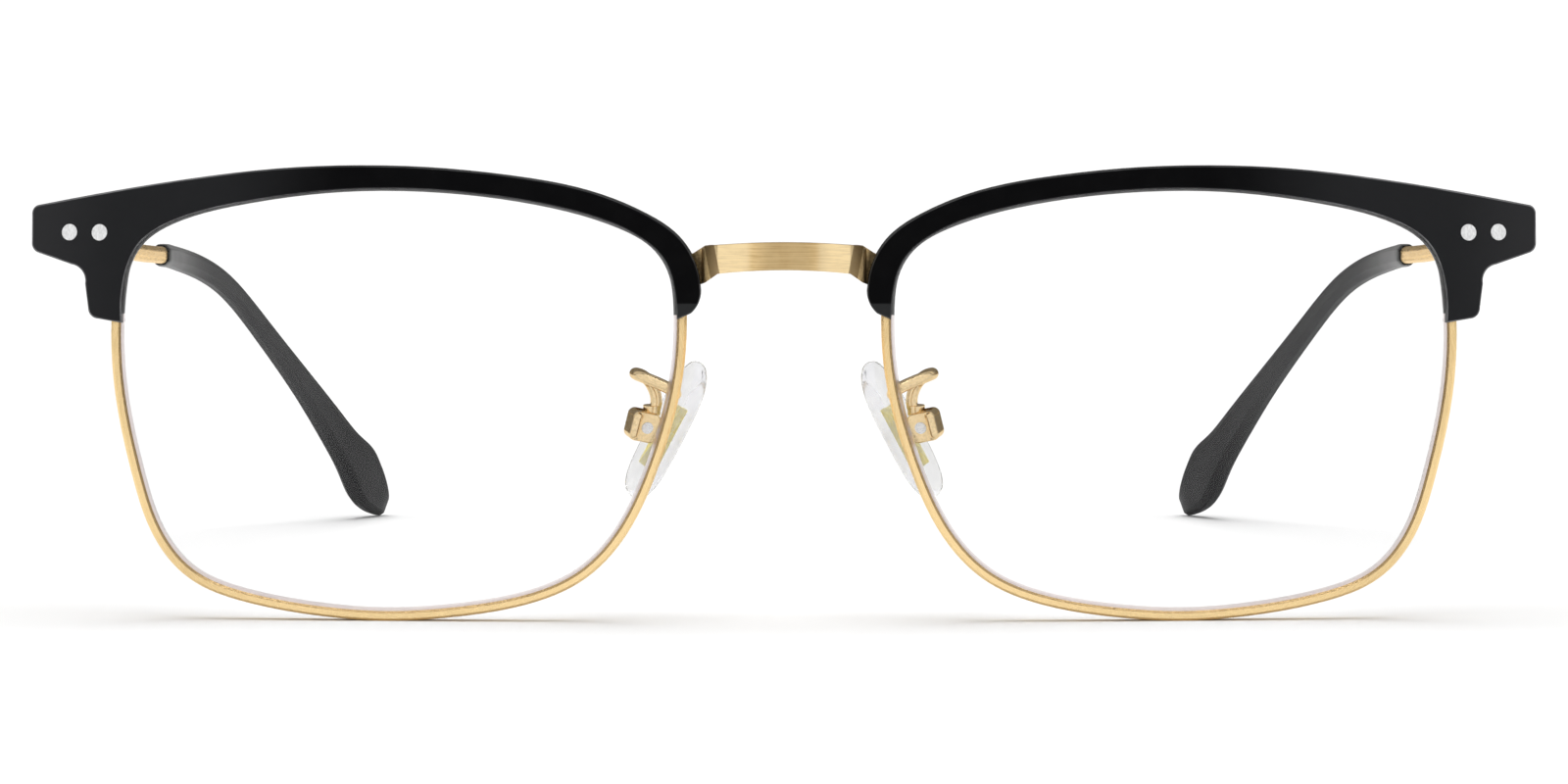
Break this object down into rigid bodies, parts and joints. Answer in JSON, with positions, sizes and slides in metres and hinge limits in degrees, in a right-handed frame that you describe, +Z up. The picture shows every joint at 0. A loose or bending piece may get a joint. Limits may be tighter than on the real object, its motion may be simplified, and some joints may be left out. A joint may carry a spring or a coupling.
{
  "type": "browline eyeglasses",
  "caption": "Half rim browline eyeglasses: black brow bars over gold wire rims, riveted end pieces, folding temples with dark ear sleeves, and rocking clear nose pads.",
  "frame": {"origin": "on the surface the glasses stand on, under the middle of their bounding box: midway between the temples and midway from the bridge to the ear tips", "axes": "+X towards the wearer's left temple, +Y from the lenses back to the ears, +Z up from the rims to the brows"},
  "size_m": [0.1416, 0.1489, 0.0426],
  "materials": {
    "champagne_gold": "champagne gold plating, satin with fine lengthwise brushing",
    "pad_core_gold": "bright gold, seen through the pad",
    "brow_black": "satin black",
    "rivet_silver": "satin silver",
    "screw_steel": "bright steel",
    "washer_nylon": "plain nylon",
    "lens_clear": "clear polished demonstration lens",
    "pad_silicone": "clear silicone",
    "sleeve_charcoal": "satin charcoal"
  },
  "bodies": {
    "front": {"bridge": "champagne_gold", "brow_left": "brow_black", "brow_rivets_left": "rivet_silver", "eyewire_left": "champagne_gold", "lens_left": "lens_clear", "rim_lock_upper_left": "champagne_gold", "rim_lock_lower_left": "champagne_gold", "rim_lock_screw_left": "screw_steel", "end_piece_left": "champagne_gold", "hinge_screw_left": "screw_steel", "hinge_washers_left": "washer_nylon", "pad_arm_left": "champagne_gold", "pad_box_left": "champagne_gold", "pad_screw_left": "screw_steel", "brow_right": "brow_black", "brow_rivets_right": "rivet_silver", "eyewire_right": "champagne_gold", "lens_right": "lens_clear", "rim_lock_upper_right": "champagne_gold", "rim_lock_lower_right": "champagne_gold", "rim_lock_screw_right": "screw_steel", "end_piece_right": "champagne_gold", "hinge_screw_right": "screw_steel", "hinge_washers_right": "washer_nylon", "pad_arm_right": "champagne_gold", "pad_box_right": "champagne_gold", "pad_screw_right": "screw_steel"},
    "temple_left": {"temple_arm_left": "champagne_gold", "temple_hinge_left": "champagne_gold", "temple_tip_left": "sleeve_charcoal"},
    "temple_right": {"temple_arm_right": "champagne_gold", "temple_hinge_right": "champagne_gold", "temple_tip_right": "sleeve_charcoal"},
    "nose_pad_left": {"nose_pad_left": "pad_silicone", "pad_core_left": "pad_core_gold"},
    "nose_pad_right": {"nose_pad_right": "pad_silicone", "pad_core_right": "pad_core_gold"}
  },
  "joints": [
    {"name": "temple_left_fold", "type": "hinge", "parent": "front", "child": "temple_left", "pos_m": [0.0661, -0.0603, 0.0363], "axis": [-0.0349, 0, 0.9994], "range_deg": [0, 83]},
    {"name": "temple_right_fold", "type": "hinge", "parent": "front", "child": "temple_right", "pos_m": [-0.0661, -0.0603, 0.0363], "axis": [-0.0349, 0, -0.9994], "range_deg": [0, 76]},
    {"name": "nose_pad_left_rock", "type": "hinge", "parent": "front", "child": "nose_pad_left", "pos_m": [0.01325, -0.0638, 0.018], "axis": [-0.2883, -0.9455, -0.1513], "range_deg": [-8, 8]},
    {"name": "nose_pad_right_rock", "type": "hinge", "parent": "front", "child": "nose_pad_right", "pos_m": [-0.01325, -0.0638, 0.018], "axis": [0.2883, -0.9455, -0.1513], "range_deg": [-8, 8]}
  ]
}
